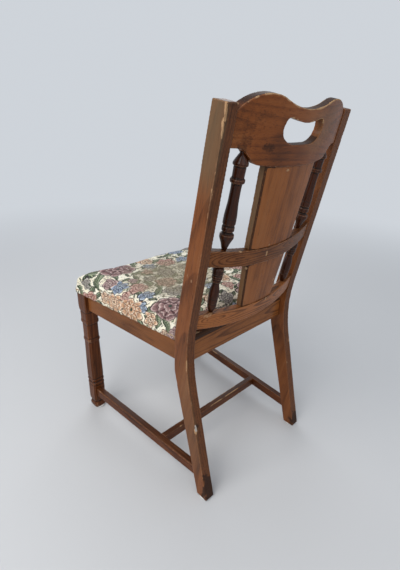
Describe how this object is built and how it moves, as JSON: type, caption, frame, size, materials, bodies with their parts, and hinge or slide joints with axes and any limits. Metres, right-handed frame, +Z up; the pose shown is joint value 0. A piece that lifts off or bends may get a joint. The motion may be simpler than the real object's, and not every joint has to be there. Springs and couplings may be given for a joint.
{
  "type": "weathered wooden dining chair",
  "caption": "Worn, stained wooden dining chair with a bowed and raked back, turned spindles, splats, block-turned front legs and an upholstered floral seat.",
  "frame": {"origin": "middle of the chair's bounding box in plan, on the floor that the glides stand on", "axes": "+Z up, -Y towards the front of the seat, +X towards the sitter's left"},
  "size_m": [0.5236, 0.572, 0.9862],
  "materials": {
    "stained_wood": "worn walnut-brown stain under old satin varnish, edges rubbed to bare wood",
    "turned_wood": "darker glossy stain on the turned spindles",
    "raw_wood": "bare, unstained and dusty",
    "dowel_wood": "bare beech",
    "cushion_padding": "cotton wadding and foam",
    "tapestry": "woven floral tapestry, faded and soiled",
    "screw_steel": "dull plated steel",
    "glide_plastic": "matt, scuffed"
  },
  "bodies": {
    "root": {"back_post_left": "stained_wood", "back_post_right": "stained_wood", "crest_rail": "stained_wood", "mid_rail": "stained_wood", "lower_rail": "stained_wood", "upper_splat": "stained_wood", "lower_splat": "stained_wood", "rear_seat_rail": "stained_wood", "front_seat_rail": "stained_wood", "side_seat_rail_left": "stained_wood", "side_seat_rail_right": "stained_wood", "front_leg_left": "stained_wood", "front_leg_right": "stained_wood", "side_stretcher_left": "stained_wood", "side_stretcher_right": "stained_wood", "cross_stretcher": "stained_wood", "rear_cleat": "stained_wood", "upper_spindle_left": "turned_wood", "upper_spindle_right": "turned_wood", "lower_spindle_left": "turned_wood", "lower_spindle_right": "turned_wood", "corner_block_front_left": "raw_wood", "corner_block_front_right": "raw_wood", "corner_block_rear_left": "raw_wood", "corner_block_rear_right": "raw_wood", "seat_board": "raw_wood", "crest_dowels": "dowel_wood", "mid_rail_dowels": "dowel_wood", "lower_rail_dowels": "dowel_wood", "rear_rail_dowels": "dowel_wood", "front_rail_dowels": "dowel_wood", "side_rail_dowels": "dowel_wood", "stretcher_dowels": "dowel_wood", "seat_padding": "cushion_padding", "seat_cover": "tapestry", "seat_screws": "screw_steel", "block_screws": "screw_steel", "cover_tacks": "screw_steel", "glide_nails": "screw_steel", "front_glide_left": "glide_plastic", "front_glide_right": "glide_plastic", "rear_glide_left": "glide_plastic", "rear_glide_right": "glide_plastic"}
  },
  "joints": []
}
